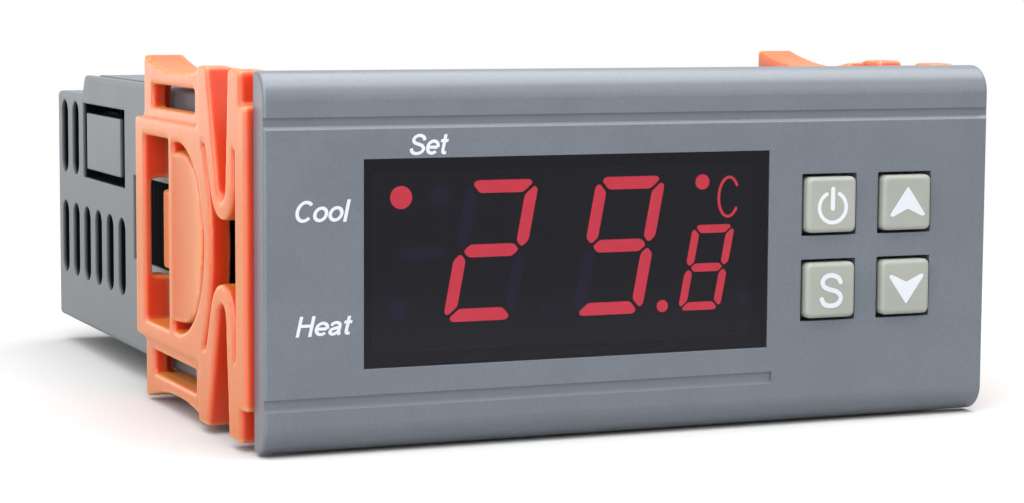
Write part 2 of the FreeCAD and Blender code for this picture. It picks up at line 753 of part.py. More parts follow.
def transformer_winding():
    """Winding between the bobbin's flanges."""
    low, high = bobbin_level()
    coil = bobbin_tube(BOBBIN_T + WIRE_T).cut(bobbin_tube(BOBBIN_T))
    room = block((-CASE_W, CASE_W), (0, CASE_L), (low + BOBBIN_T, high - BOBBIN_T))
    return coil.common(room)


def voltage_regulator():
    """Moulded regulator with its flat tab standing up behind."""
    body = on_board(REGULATOR_AT, REGULATOR_SIZE)
    wide, deep, high = REGULATOR_SIZE
    back = REGULATOR_AT[1] + deep / 2
    top = BOARD_Z + high + TAB_H
    tab = block(around(REGULATOR_AT[0], wide), (back - TAB_T, back), (BOARD_Z, top))
    return body.fuse(tab).removeSplitter()


def standing(at, radius, height):
    """Round component standing on the main board."""
    return rod("z", radius, at, BOARD_Z, BOARD_Z + height)


def clamp_place(x):
    """Plan of one terminal's well in the block."""
    wide = TERMINAL_PITCH - 2 * BLOCK_WALL
    deep = BLOCK_DEPTH - 2 * BLOCK_WALL
    return around(x, wide), around(TERMINAL_Y, deep)


def terminal_block():
    """Terminal strip with an open well and a wire way for each terminal."""
    wide = TERMINALS * TERMINAL_PITCH
    body = block(around(0, wide), (BLOCK_FRONT, BLOCK_BACK), (BOARD_Z, BLOCK_TOP))
    cuts = []
    for x in terminal_places():
        cuts.append(block(*clamp_place(x), (CLAMP_Z, BLOCK_TOP + 1)))
        cuts.append(rod("y", WIRE_R, (x, WIRE_Z), TERMINAL_Y, BLOCK_BACK + 1))
    return body.cut(cuts)


def terminal_clamp(x):
    """Brass clamp in its well, with a wire way and a hole for its screw."""
    (x0, x1), (y0, y1) = clamp_place(x)
    body = block((x0 + FIT, x1 - FIT), (y0 + FIT, y1 - FIT), (CLAMP_Z, CLAMP_Z + CLAMP_H))
    way = rod("y", WIRE_R, (x, WIRE_Z), y0 - 1, y1 + 1)
    hole = rod("z", SCREW_R + FIT, (x, TERMINAL_Y), WIRE_Z, CLAMP_Z + CLAMP_H + 1)
    return body.cut([way, hole])


def terminal_screws():
    """Slotted screws, one in each clamp, screwed down to the top of the wire way."""
    screws = []
    for x in terminal_places():
        at = (x, TERMINAL_Y)
        neck = CLAMP_Z + CLAMP_H + SEAT
        top = neck + SCREW_HEAD_H
        shank = rod("z", SCREW_R, at, WIRE_Z + WIRE_R / 2, neck)
        head = rod("z", SCREW_HEAD_R, at, neck, top)
        width = around(TERMINAL_Y, SCREW_SLOT)
        groove = block(around(x, 2 * DRIVER_R), width, (top - SCREW_SLOT, top + 1))
        screws.append(shank.fuse(head).cut(groove).removeSplitter())
    return Part.makeCompound(screws)


nodes = {
    "front_bezel": front_bezel(),
    "display_window": display_window(),
    "case_shell": case_shell(),
    "left_clip": left_clip(),
    "right_clip": right_clip(),
    "led_display": led_display(),
    "display_board": display_board(),
    "board_header": board_header(),
    "header_pins": header_pins(),
    "main_board": main_board(),
    "transformer_core": transformer_core(),
    "transformer_bobbin": transformer_bobbin(),
    "transformer_winding": transformer_winding(),
    "cooling_relay": on_board(COOLING_RELAY_AT, RELAY_SIZE),
    "heating_relay": on_board(HEATING_RELAY_AT, RELAY_SIZE),
    "filter_capacitor": standing(CAPACITOR_AT, CAPACITOR_R, CAPACITOR_H),
    "bridge_rectifier": on_board(RECTIFIER_AT, RECTIFIER_SIZE),
    "voltage_regulator": voltage_regulator(),
    "microcontroller": on_board(CONTROLLER_AT, CONTROLLER_SIZE),
    "buzzer": standing(BUZZER_AT, BUZZER_R, BUZZER_H),
    "terminal_block": terminal_block(),
    "terminal_screws": terminal_screws(),
}
for name in KEYS:
    nodes[name + "_key"] = key(name)
    nodes[name + "_plunger"] = plunger(name)
    nodes[name + "_switch"] = switch(name)
for i, x in enumerate(terminal_places()):
    nodes["terminal_clamp_%d" % (i + 1)] = terminal_clamp(x)

os.makedirs("parts", exist_ok=True)
for name, shape in nodes.items():
    shape.exportStep(os.path.join("parts", name + ".step"))
    print(name, len(shape.Solids), shape.isValid(), round(shape.Volume, 2))
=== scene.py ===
import bpy
import bmesh
import math
from mathutils import Matrix, Vector


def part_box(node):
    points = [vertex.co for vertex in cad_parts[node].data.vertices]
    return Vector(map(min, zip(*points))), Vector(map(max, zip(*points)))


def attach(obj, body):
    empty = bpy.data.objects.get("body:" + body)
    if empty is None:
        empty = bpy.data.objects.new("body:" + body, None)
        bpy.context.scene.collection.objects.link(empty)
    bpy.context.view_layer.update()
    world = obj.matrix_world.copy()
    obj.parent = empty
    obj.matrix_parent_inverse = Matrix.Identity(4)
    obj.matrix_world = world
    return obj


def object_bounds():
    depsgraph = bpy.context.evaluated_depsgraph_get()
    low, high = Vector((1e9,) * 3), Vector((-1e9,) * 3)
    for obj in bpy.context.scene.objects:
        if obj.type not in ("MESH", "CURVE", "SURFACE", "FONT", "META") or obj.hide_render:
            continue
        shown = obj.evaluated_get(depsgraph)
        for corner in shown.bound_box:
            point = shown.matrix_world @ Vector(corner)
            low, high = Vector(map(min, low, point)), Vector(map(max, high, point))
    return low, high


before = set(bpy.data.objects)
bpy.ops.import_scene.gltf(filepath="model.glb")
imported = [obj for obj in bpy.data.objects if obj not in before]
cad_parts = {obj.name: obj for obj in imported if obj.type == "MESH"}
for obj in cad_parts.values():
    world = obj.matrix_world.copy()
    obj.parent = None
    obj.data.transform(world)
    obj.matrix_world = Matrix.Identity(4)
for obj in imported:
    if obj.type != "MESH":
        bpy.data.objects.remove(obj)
cad_box = [list(corner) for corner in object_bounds()]

# Case: one grey ABS moulding, a tube with a closed rear and a lower ledge over the terminals.
# It came out of a spark-eroded mould, so its outside has a fine even grain and no sharp edge.
# The bezel's skirt snaps into its mouth and the main board slides into its ribs.
MM = 0.001  # in metres; sizes are in millimetres where nothing else is said


def linear(colour):
    """Linear colour with full alpha from an sRGB hex value."""
    parts = [int(colour[i:i + 2], 16) / 255 for i in (0, 2, 4)]
    return (*[c / 12.92 if c <= 0.04045 else ((c + 0.055) / 1.055) ** 2.4 for c in parts], 1.0)


def put(tree, kind, inputs=(), **settings):
    """Adds a shader node with its settings, and a value or a link for each input named."""
    made = tree.nodes.new("ShaderNode" + kind)
    for name, value in settings.items():
        setattr(made, name, value)
    for name, value in dict(inputs).items():
        if isinstance(value, bpy.types.NodeSocket):
            tree.links.new(value, made.inputs[name])
        else:
            made.inputs[name].default_value = value
    return made


def blank(name):
    """New material with an empty tree, and the object's own coordinates in metres."""
    material = bpy.data.materials.new(name)
    material.use_nodes = True
    tree = material.node_tree
    tree.nodes.clear()
    return material, tree, put(tree, "TexCoord").outputs["Object"]


def moulded(name, pale, deep, rough, grain, edge, stretch=(1, 1, 1), drift=7.0, **more):
    """Moulded plastic: two close tones drift across it, a grain of some width and depth breaks up
    its gloss, and its edges are rounded by the mould. Grain, edge and drift are in millimetres."""
    material, tree, place = blank(name)
    flow = put(tree, "Mapping", {"Vector": place, "Scale": stretch}).outputs["Vector"]
    cloud = put(tree, "TexNoise", {"Vector": flow, "Scale": 1 / (drift * MM), "Detail": 3.0})
    share = put(tree, "MapRange", {"Value": cloud.outputs["Fac"], "From Min": 0.2, "From Max": 0.8},
                interpolation_type="SMOOTHERSTEP").outputs[0]
    tone = put(tree, "Mix", {0: share, 6: linear(deep), 7: linear(pale)}, data_type="RGBA")
    gloss = put(tree, "MapRange", {"Value": share, "To Min": rough[0], "To Max": rough[1]})
    pits = put(tree, "TexNoise", {"Vector": place, "Scale": 1 / (grain[0] * MM), "Detail": 1.0})
    soft = put(tree, "Bevel", {"Radius": edge * MM}, samples=6)
    skin = put(tree, "Bump", {
        "Height": pits.outputs["Fac"], "Distance": grain[1] * MM, "Normal": soft.outputs["Normal"],
    })
    plastic = put(tree, "BsdfPrincipled", {
        "Base Color": tone.outputs[2], "Roughness": gloss.outputs[0], "Normal": skin.outputs["Normal"],
        "IOR": 1.53, **more,
    })
    put(tree, "OutputMaterial", {"Surface": plastic.outputs["BSDF"]})
    return material


def dress(material, *names):
    """Gives CAD nodes their finished material."""
    for name in names:
        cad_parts[name].material_slots[0].material = material


# Spark-eroded ABS: an even satin grey whose grain spreads every highlight.
# The real grit is near 0.08 mm and is drawn at 0.2 mm, or it would not show.
case_abs = moulded(
    "spark_eroded_abs_case", "696E73", "63686C", rough=(0.46, 0.54), grain=(0.2, 0.006), edge=0.3,
)
dress(case_abs, "case_shell")

# Painted shade: the inside and the walls of the vents are painted near black and matt, for the shade
# in them, so every opening looks black. It leaves out the part of the racks between the clips and the
# vents, and starts just under the outer sides, and deeper under the ledge and the rounded rear edge.
CASE_GLARE, SHADE_GLARE = 0.42, 0.05
SHADE_ROUGH = 0.97
RACK_START, RACK_END, RACK_FADE = 44.8, 50.5, 0.3
tree = case_abs.node_tree
along = put(tree, "SeparateXYZ", {"Vector": put(tree, "TexCoord").outputs["Object"]}).outputs
before = put(tree, "MapRange", {
    "Value": along["Y"], "From Min": RACK_START * MM, "From Max": (RACK_START + RACK_FADE) * MM,
    "To Min": 1.0, "To Max": 0.0,
}).outputs[0]
after = put(tree, "MapRange", {
    "Value": along["Y"], "From Min": (RACK_END - RACK_FADE) * MM, "From Max": RACK_END * MM,
}).outputs[0]
shade_cover = put(tree, "Math", {0: before, 1: after}, operation="MAXIMUM").outputs[0]
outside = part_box("case_shell")[1]
for axis, side, start, full in (
    ("X", outside.x, 0.02, 0.42),
    ("Y", outside.y, 0.5, 0.9),
    ("Z", outside.z, 2.5, 2.7),
):
    out = put(tree, "Math", {0: along[axis]}, operation="ABSOLUTE").outputs[0]
    depth = put(tree, "MapRange", {
        "Value": out, "From Min": side - full * MM, "From Max": side - start * MM,
        "To Min": 1.0, "To Max": 0.0,
    }).outputs[0]
    shade_cover = put(tree, "Math", {0: shade_cover, 1: depth}, operation="MULTIPLY").outputs[0]
coated = tree.nodes["Principled BSDF"].inputs
bare, gloss = (coated[name].links[0].from_socket for name in ("Base Color", "Roughness"))
# Painted shade: near black and matt where the mask covers.
painted_shade = put(tree, "Mix", {0: shade_cover, 6: bare, 7: linear("0B0B0D")}, data_type="RGBA")
matt = put(tree, "Mix", {0: shade_cover, 2: gloss, 3: SHADE_ROUGH}, data_type="FLOAT")
glare = put(tree, "MapRange", {"Value": shade_cover, "To Min": CASE_GLARE, "To Max": SHADE_GLARE})
tree.links.new(painted_shade.outputs[2], coated["Base Color"])
tree.links.new(matt.outputs[0], coated["Roughness"])
tree.links.new(glare.outputs[0], coated["Specular IOR Level"])

# Main board: green lacquered glass laminate that slides into the case's ribs from the front.
# Its parts stand on it: a transformer, two relays, supply parts, a controller chip and a buzzer.
# The display board is of the same laminate, whose weave shows faintly through a smooth film.
WAVE = 0.31  # metres after which a wave texture of scale 1 repeats
WEAVE = 0.6
material, tree, place = blank("lacquered_glass_laminate")
warp = put(tree, "TexWave", {"Vector": place, "Scale": WAVE / (WEAVE * MM)}, bands_direction="X")
weft = put(tree, "TexWave", {"Vector": place, "Scale": WAVE / (WEAVE * MM)}, bands_direction="Y")
threads = {0: warp.outputs["Fac"], 1: weft.outputs["Fac"]}
cloth = put(tree, "Math", threads, operation="MULTIPLY").outputs[0]
tone = put(tree, "Mix", {0: cloth, 6: linear("10331F"), 7: linear("184A2E")}, data_type="RGBA")
skin = put(tree, "Bump", {"Height": cloth, "Distance": 0.02 * MM})
lacquer = put(tree, "BsdfPrincipled", {
    "Base Color": tone.outputs[2], "Roughness": 0.32, "IOR": 1.52, "Normal": skin.outputs["Normal"],
})
put(tree, "OutputMaterial", {"Surface": lacquer.outputs["BSDF"]})
dress(material, "main_board", "display_board")

# Stacked sheet steel: thin varnished sheets seen on edge as fine dark lines across the stack.
SHEET = 0.5
material, tree, place = blank("varnished_core_sheets")
sheets = put(tree, "TexWave", {"Vector": place, "Scale": WAVE / (SHEET * MM), "Distortion": 0.6},
             bands_direction="Y", wave_profile="SAW").outputs["Fac"]
tone = put(tree, "Mix", {0: sheets, 6: linear("3F3E40"), 7: linear("77767A")}, data_type="RGBA")
ridge = put(tree, "Bump", {"Height": sheets, "Distance": 0.03 * MM})
steel = put(tree, "BsdfPrincipled", {
    "Base Color": tone.outputs[2], "Metallic": 0.8, "Roughness": 0.42, "Normal": ridge.outputs["Normal"],
})
put(tree, "OutputMaterial", {"Surface": steel.outputs["BSDF"]})
dress(material, "transformer_core")

# Enamelled copper wire: turn lies beside turn, each a small ridge with painted highlight and shade.
WIRE = 0.4
material, tree, place = blank("enamelled_copper_turns")
turns = put(tree, "TexWave", {"Vector": place, "Scale": WAVE / (WIRE * MM), "Distortion": 0.3},
            bands_direction="Z").outputs["Fac"]
tone = put(tree, "Mix", {0: turns, 6: linear("5E2A16"), 7: linear("C07A4C")}, data_type="RGBA")
ridge = put(tree, "Bump", {"Height": turns, "Distance": 0.15 * MM})
copper = put(tree, "BsdfPrincipled", {
    "Base Color": tone.outputs[2], "Metallic": 0.9, "Roughness": 0.3, "Normal": ridge.outputs["Normal"],
    "Coat Weight": 0.4, "Coat Roughness": 0.15,
})
put(tree, "OutputMaterial", {"Surface": copper.outputs["BSDF"]})
dress(material, "transformer_winding")

# Natural nylon for the bobbin, blue moulded relay covers, black moulding compound for the chips.
# Nylon is milky, the covers are satin, and the compound is dull with a faint sparkle of filler.
bobbin_nylon = moulded(
    "natural_nylon_bobbin", "E9E4D4", "DDD6C2", rough=(0.4, 0.5), grain=(0.3, 0.004), edge=0.2,
)
dress(bobbin_nylon, "transformer_bobbin")
relay_cover = moulded(
    "satin_blue_relay_cover", "31549A", "294884", rough=(0.36, 0.44), grain=(0.25, 0.005), edge=0.3,
)
dress(relay_cover, "cooling_relay", "heating_relay")
compound = moulded(
    "black_moulding_compound", "242427", "19191B", rough=(0.5, 0.62), grain=(0.18, 0.012), edge=0.15,
)
dress(compound, "bridge_rectifier", "voltage_regulator", "microcontroller", "buzzer", "board_header")

# Shrunk sleeve: thin glossy film over the capacitor's can.
sleeve = moulded(
    "shrunk_capacitor_sleeve", "262B36", "1F232C", rough=(0.16, 0.24), grain=(0.8, 0.004), edge=0.3,
)
dress(sleeve, "filter_capacitor")

# Terminals: a black nylon strip with a brass clamp and a zinc-plated slotted screw in each well.
# A driver reaches the screws through round holes in the case's ledge.
# Black nylon: a dull satin whose corners stay soft. The metals show tool marks, 1.5 mm long and a
# twelfth as wide.
strip_nylon = moulded(
    "black_nylon_strip", "202124", "17181A", rough=(0.42, 0.52), grain=(0.25, 0.006), edge=0.2,
)
dress(strip_nylon, "terminal_block")
MARK_LONG, MARK_THIN = 1.5, 12
for name, pale, deep, rough, parts in (
    # Milled brass: warm yellow with fine lines from the cutter.
    ("milled_brass", "CDAE68", "A98B4B", 0.3, ["terminal_clamp_%d" % (i + 1) for i in range(8)]),
    # Zinc plate: a cold bright film with cloudy patches.
    ("zinc_plated_steel", "CBCED2", "A9ADB4", 0.28, ["terminal_screws"]),
    # Tin plate on the header's pins: soft and slightly yellow.
    ("tin_plated_brass", "D9D2BC", "BDB496", 0.34, ["header_pins"]),
):
    material, tree, place = blank(name)
    lines = put(tree, "Mapping", {"Vector": place, "Scale": (1, 1, MARK_THIN)}).outputs["Vector"]
    cuts = put(tree, "TexNoise", {"Vector": lines, "Scale": 1 / (MARK_LONG * MM), "Detail": 4.0})
    marks = cuts.outputs["Fac"]
    tone = put(tree, "Mix", {0: marks, 6: linear(deep), 7: linear(pale)}, data_type="RGBA")
    soft = put(tree, "Bevel", {"Radius": 0.12 * MM}, samples=4)
    skin = put(tree, "Bump", {"Height": marks, "Distance": 0.01 * MM, "Normal": soft.outputs["Normal"]})
    metal = put(tree, "BsdfPrincipled", {
        "Base Color": tone.outputs[2], "Metallic": 1.0, "Roughness": rough,
        "Normal": skin.outputs["Normal"],
    })
    put(tree, "OutputMaterial", {"Surface": metal.outputs["BSDF"]})
    dress(material, *parts)

# Key switches: black bodies soldered to the display board, each with an ivory actuator.
# The actuators are acetal, slippery and a little translucent.
KEYS = ("power", "up", "set", "down")
dress(compound, *[name + "_switch" for name in KEYS])
actuator = moulded(
    "ivory_acetal_actuator", "E2DECF", "D6D0BE", rough=(0.28, 0.36), grain=(0.4, 0.003), edge=0.2,
)
dress(actuator, *[name + "_plunger" for name in KEYS])

# Display: a sealed block of dark resin whose segments show through its printed face.
# Two tall slanted figures, a small one after the point, a degree sign and small lamps.
display_resin = moulded(
    "dark_display_resin", "17171C", "141419", rough=(0.5, 0.6), grain=(0.3, 0.0), edge=0.1,
)
dress(display_resin, "led_display")
DISPLAY_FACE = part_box("led_display")[0].y / MM
SEGMENT_T = 0.06
SLANT = 0.19


def rounded(corners, cut):
    """Outline with each corner replaced by a short curve that starts the cut before it."""
    line = []
    for i, corner in enumerate(corners):
        three = (corners[i - 1], corner, corners[(i + 1) % len(corners)])
        before, here, after = (Vector(point) for point in three)
        start = here + (before - here).normalized() * min(cut, (before - here).length * 0.45)
        stop = here + (after - here).normalized() * min(cut, (after - here).length * 0.45)
        for t in (0.0, 0.25, 0.5, 0.75, 1.0):
            line.append(tuple((1 - t) ** 2 * start + 2 * t * (1 - t) * here + t * t * stop))
    return line


def disc(x, z, diameter, count=48):
    """Round outline."""
    turn = [2 * math.pi * i / count for i in range(count)]
    return [(x + diameter / 2 * math.cos(a), z + diameter / 2 * math.sin(a)) for a in turn]


def ribbon(path, width, blunt=False):
    """Outline of a stroke of even width along a path, with round or blunt ends."""
    path = [Vector(point) for point in path]
    last = len(path) - 1
    ways = [(path[min(i + 1, last)] - path[max(i - 1, 0)]).normalized() for i in range(last + 1)]
    left = [p + Vector((-w.y, w.x)) * width / 2 for p, w in zip(path, ways)]
    right = [p - Vector((-w.y, w.x)) * width / 2 for p, w in zip(path, ways)]
    turn = [] if blunt else [math.pi * k / 8 for k in range(1, 8)]
    caps = []
    for end, way in ((path[-1], ways[-1]), (path[0], -ways[0])):
        side = Vector((-way.y, way.x))
        caps.append([end + (side * math.cos(a) + way * math.sin(a)) * width / 2 for a in turn])
    return [tuple(p) for p in left + caps[0] + right[::-1] + caps[1]]


def plate(name, outlines, face, thick, material, body):
    """Flat shapes that stand on a face looking to the front, each a hair thicker than the last."""
    form = bmesh.new()
    for i, outline in enumerate(outlines):
        layer = i * thick / 20
        front = [form.verts.new((x * MM, (face - thick - layer) * MM, z * MM)) for x, z in outline]
        back = [form.verts.new((x * MM, face * MM, z * MM)) for x, z in outline]
        form.faces.new(front)
        form.faces.new(back[::-1])
        for k in range(len(outline)):
            form.faces.new((front[k - 1], front[k], back[k], back[k - 1]))
    bmesh.ops.recalc_face_normals(form, faces=form.faces)
    mesh = bpy.data.meshes.new(name)
    form.to_mesh(mesh)
    form.free()
    mesh.materials.append(material)
    piece = bpy.data.objects.new(name, mesh)
    bpy.context.scene.collection.objects.link(piece)
    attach(piece, body)


def figure(centre, size, bar, gap, shown):
    """Outlines of a figure's segments, a to g, slanted to the right as it rises."""
    half, tall = size[0] / 2, size[1] / 2
    blunt, slope = 0.55 * bar, 0.3 * bar
    end = half - gap
    top = [
        (blunt - end, tall), (end - blunt, tall), (end - slope, tall - slope),
        (end - bar, tall - bar), (bar - end, tall - bar), (slope - end, tall - slope),
    ]
    right = [
        (half, tall - gap - blunt), (half, bar / 2 + gap), (half - bar / 2, gap),
        (half - bar, bar / 2 + gap), (half - bar, tall - bar - gap), (half - slope, tall - gap - slope),
    ]
    middle = [
        (bar / 2 + gap - half, 0), (bar + gap - half, bar / 2), (half - bar - gap, bar / 2),
        (half - bar / 2 - gap, 0), (half - bar - gap, -bar / 2), (bar + gap - half, -bar / 2),
    ]
    forms = {
        "a": top, "b": right, "c": [(u, -v) for u, v in right], "d": [(u, -v) for u, v in top],
        "e": [(-u, -v) for u, v in right], "f": [(-u, v) for u, v in right], "g": middle,
    }
    lines = [rounded(forms[s], bar * 0.24) for s in shown]
    return [[(centre[0] + u + v * SLANT, centre[1] + v) for u, v in line] for line in lines]


# Lit segment: red light spread by a milky filler, so its strength drifts a little from place to place.
HAZE = 1.5
lit_segment, tree, place = blank("lit_red_segment")
haze = put(tree, "TexNoise", {"Vector": place, "Scale": 1 / (HAZE * MM), "Detail": 1.0}).outputs["Fac"]
glow = put(tree, "Mix", {0: haze, 6: linear("C8303A"), 7: linear("D63A45")}, data_type="RGBA")
lamp = put(tree, "BsdfPrincipled", {
    "Base Color": linear("701820"), "Roughness": 0.5, "Emission Color": glow.outputs[2],
    "Emission Strength": 11.5,
})
put(tree, "OutputMaterial", {"Surface": lamp.outputs["BSDF"]})

# Unlit segment: the same filler, a faint violet, with a weak painted glow for stray light from its
# neighbours.
unlit_segment = moulded(
    "unlit_segment_filler", "4A3A62", "403256", rough=(0.5, 0.6), grain=(0.3, 0.0), edge=0.05,
    **{"Emission Color": linear("5A3A86"), "Emission Strength": 0.55},
)

TALL = dict(size=(7.15, 13.0), bar=1.18, gap=0.24)
SMALL = dict(size=(4.45, 8.15), bar=0.78, gap=0.16)
FIRST, SECOND, LAST = (-15.18, 0.6), (-2.12, 0.6), (7.1, -1.79)
C_CENTRE, C_HALF, C_LEAN = (9.38, 4.92), (1.05, 1.88), 0.06
C_TURN = [math.radians(a) for a in range(36, 326, 6)]
CELSIUS = [
    (C_CENTRE[0] + C_HALF[0] * math.cos(a) + C_LEAN * math.sin(a), C_CENTRE[1] + C_HALF[1] * math.sin(a))
    for a in C_TURN
]
for name, outlines in (
    ("first_figure_lit", figure(FIRST, shown="abged", **TALL)),
    ("second_figure_lit", figure(SECOND, shown="abcdfg", **TALL)),
    ("last_figure_lit", figure(LAST, shown="abcdefg", **SMALL)),
    ("point_lit", [disc(2.45, -5.33, 1.15)]),
    ("degree_sign_lit", [disc(6.56, 6.4, 1.45), ribbon(CELSIUS, 0.25)]),
    ("cool_lamp_lit", [disc(-24.05, 5.71, 2.1)]),
):
    plate(name, outlines, DISPLAY_FACE, SEGMENT_T, lit_segment, "housing")
for name, outlines in (
    ("first_figure_unlit", figure(FIRST, shown="cf", **TALL)),
    ("second_figure_unlit", figure(SECOND, shown="e", **TALL)),
    ("minus_sign_unlit", [rounded([(-24.3, 0.0), (-19.9, 0.0), (-19.7, 1.1), (-24.1, 1.1)], 0.3)]),
    ("lamps_unlit", [disc(-20.24, 5.67, 2.0), disc(-24.37, -4.56, 2.0)]),
    ("points_unlit", [disc(-9.46, -4.9, 1.15), disc(11.0, -4.9, 1.15)]),
):
    plate(name, outlines, DISPLAY_FACE, SEGMENT_T, unlit_segment, "housing")

# Front bezel: one ABS moulding of the same grey, rounded along its long edges, with two fine
# grooves. Its skirt snaps into the case, and white lettering is printed on its face.
# Spark-eroded ABS again, a little smoother than the case: a soft highlight lies along its top edge.
bezel_abs = moulded(
    "spark_eroded_abs_bezel", "5F6771", "5A626C", rough=(0.34, 0.4), grain=(0.22, 0.006), edge=0.1,
    **{"Specular IOR Level": 0.85},
)
dress(bezel_abs, "front_bezel")
WINDOW_SUNK = 0.1
BEZEL_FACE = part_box("display_window")[0].y / MM - WINDOW_SUNK

# The pits of its grain hold a little shade, which shows as a fine speckle.
# Their grit too is drawn coarser than it is, at 0.35 mm, or it would not show.
GRIT = 0.35
SPECK = 0.18
tree = bezel_abs.node_tree
place = put(tree, "TexCoord").outputs["Object"]
coated = tree.nodes["Principled BSDF"].inputs
bare, gloss = (coated[name].links[0].from_socket for name in ("Base Color", "Roughness"))
grit = put(tree, "TexNoise", {"Vector": place, "Scale": 1 / (GRIT * MM), "Detail": 2.0})
pitted = put(tree, "MapRange", {
    "Value": grit.outputs["Fac"], "From Min": 0.35, "From Max": 0.65, "To Max": SPECK,
}).outputs[0]
speckled = put(tree, "Mix", {0: pitted, 6: bare, 7: linear("3F454D")}, data_type="RGBA").outputs[2]

# The lower groove's slanted sill gets painted shade, a darker colour, and is made matt, so it shows
# less light from above. Its slope, its depth behind the face and its height tell it from the rest of the
# bezel.
SILL_SLOPE = (0.2, 0.4)
SILL_DEPTH = 0.03
SILL_Z = (-11.0, -12.0)
SILL_ROUGH = 0.56
along = put(tree, "SeparateXYZ", {"Vector": place}).outputs
facing = put(tree, "SeparateXYZ", {"Vector": put(tree, "NewGeometry").outputs["True Normal"]}).outputs
sill = put(tree, "MapRange", {
    "Value": facing["Z"], "From Min": SILL_SLOPE[0], "From Max": SILL_SLOPE[1],
}).outputs[0]
for axis, first, last in (("Y", BEZEL_FACE, BEZEL_FACE + SILL_DEPTH), ("Z", *SILL_Z)):
    within = put(tree, "MapRange", {
        "Value": along[axis], "From Min": first * MM, "From Max": last * MM,
    }).outputs[0]
    sill = put(tree, "Math", {0: sill, 1: within}, operation="MULTIPLY").outputs[0]
# Painted shade: a darker colour on the sill.
sill_shaded = put(tree, "Mix", {0: sill, 6: speckled, 7: linear("474D56")}, data_type="RGBA")
matt = put(tree, "Mix", {0: sill, 2: gloss, 3: SILL_ROUGH}, data_type="FLOAT")
tree.links.new(sill_shaded.outputs[2], coated["Base Color"])
tree.links.new(matt.outputs[0], coated["Roughness"])

# Screen-printed ink: an opaque white film, slightly uneven where the mesh laid it down.
INK_T = 0.03
white_ink = moulded(
    "white_screen_ink", "DADEE4", "D2D7DE", rough=(0.5, 0.6), grain=(0.25, 0.004), edge=0.01,
)


def curve(points, smooth=4):
    """Smooth line through points."""
    line = []
    for i in range(len(points) - 1):
        a, b, c, d = (Vector(points[min(max(i + k, 0), len(points) - 1)]) for k in (-1, 0, 1, 2))
        for t in (step / smooth for step in range(smooth)):
            line.append(0.5 * (2 * b + (c - a) * t + (2 * a - 5 * b + 4 * c - d) * t * t
                               + (3 * b - a - 3 * c + d) * t ** 3))
    return [tuple(p) for p in line] + [tuple(points[-1])]


def bow(x, z, wide, high, start, stop):
    """Part of an oval about a centre, from one angle to another in degrees."""
    turn = [math.radians(start + (stop - start) * i / 28) for i in range(29)]
    return [(x + wide / 2 * math.cos(a), z + high / 2 * math.sin(a)) for a in turn]


# Grotesque capitals and small letters as strokes, one unit high, each with the step to the next.
STROKE = 0.145
LEAN = 0.2
BOWL = (0.335, 0.365, 0.49, 0.55)
LETTERS = {
    "C": (0.78, [bow(0.41, 0.5, 0.64, 0.83, 42, 318)]),
    "H": (0.79, [[(0.1, 0.0), (0.1, 1.0)], [(0.65, 0.0), (0.65, 1.0)], [(0.1, 0.53), (0.65, 0.53)]]),
    "S": (0.75, [curve([
        (0.64, 0.68), (0.58, 0.82), (0.38, 0.91), (0.18, 0.84), (0.12, 0.7), (0.2, 0.58), (0.38, 0.51),
        (0.56, 0.44), (0.66, 0.3), (0.59, 0.15), (0.38, 0.08), (0.16, 0.15), (0.08, 0.32),
    ])]),
    "a": (0.62, [
        curve([
            (0.1, 0.5), (0.16, 0.6), (0.3, 0.645), (0.44, 0.59), (0.48, 0.46), (0.48, 0.16), (0.55, 0.04),
        ]),
        curve([
            (0.48, 0.41), (0.3, 0.37), (0.14, 0.31), (0.09, 0.19), (0.16, 0.1), (0.28, 0.09),
            (0.41, 0.17), (0.48, 0.3),
        ]),
    ]),
    "e": (0.64, [[(0.1, 0.36), (0.57, 0.36)], bow(*BOWL, -2, 316)]),
    "l": (0.26, [[(0.12, 0.0), (0.12, 1.0)]]),
    "o": (0.66, [bow(*BOWL, -4, 184), bow(*BOWL, 176, 364)]),
    "t": (0.4, [
        curve([(0.2, 0.94), (0.2, 0.5), (0.2, 0.2), (0.25, 0.1), (0.37, 0.1)]),
        [(0.03, 0.65), (0.38, 0.65)],
    ]),
}
for name, word, left, right, base, top in (
    ("set_lettering", "Set", -23.72, -19.93, 9.62, 11.55),
    ("cool_lettering", "Cool", -34.56, -29.34, 3.79, 5.8),
    ("heat_lettering", "Heat", -34.57, -29.19, -6.46, -4.6),
):
    marks, pen = [], 0.0
    for letter in word:
        step, strokes = LETTERS[letter]
        for stroke in strokes:
            outline = ribbon([(pen + u, v) for u, v in stroke], STROKE, blunt=True)
            marks.append([(u + v * LEAN, v) for u, v in outline])
        pen += step
    us = [u for mark in marks for u, v in mark]
    vs = [v for mark in marks for u, v in mark]
    wide = (right - left) / (max(us) - min(us))
    high = (top - base) / (max(vs) - min(vs))
    placed = [
        [(left + (u - min(us)) * wide, base + (v - min(vs)) * high) for u, v in mark] for mark in marks
    ]
    plate(name, placed, BEZEL_FACE, INK_T, white_ink, "housing")

# Display window: a flat pane of smoke-tinted acrylic glued into the bezel.
# It hides the display's dark face and lets the red light through, and a hard coat cuts its glare.
RIPPLE = 12
material, tree, place = blank("smoke_tinted_acrylic")
wave = put(tree, "TexNoise", {"Vector": place, "Scale": 1 / (RIPPLE * MM), "Detail": 1.0})
skin = put(tree, "Bump", {"Height": wave.outputs["Fac"], "Distance": 0.02 * MM})
pane = put(tree, "BsdfPrincipled", {
    "Base Color": linear("505058"), "Transmission Weight": 1.0, "Roughness": 0.06, "IOR": 1.36,
    "Specular Tint": linear("EFECFF"), "Normal": skin.outputs["Normal"],
})
put(tree, "OutputMaterial", {"Surface": pane.outputs["BSDF"]})
dress(material, "display_window")

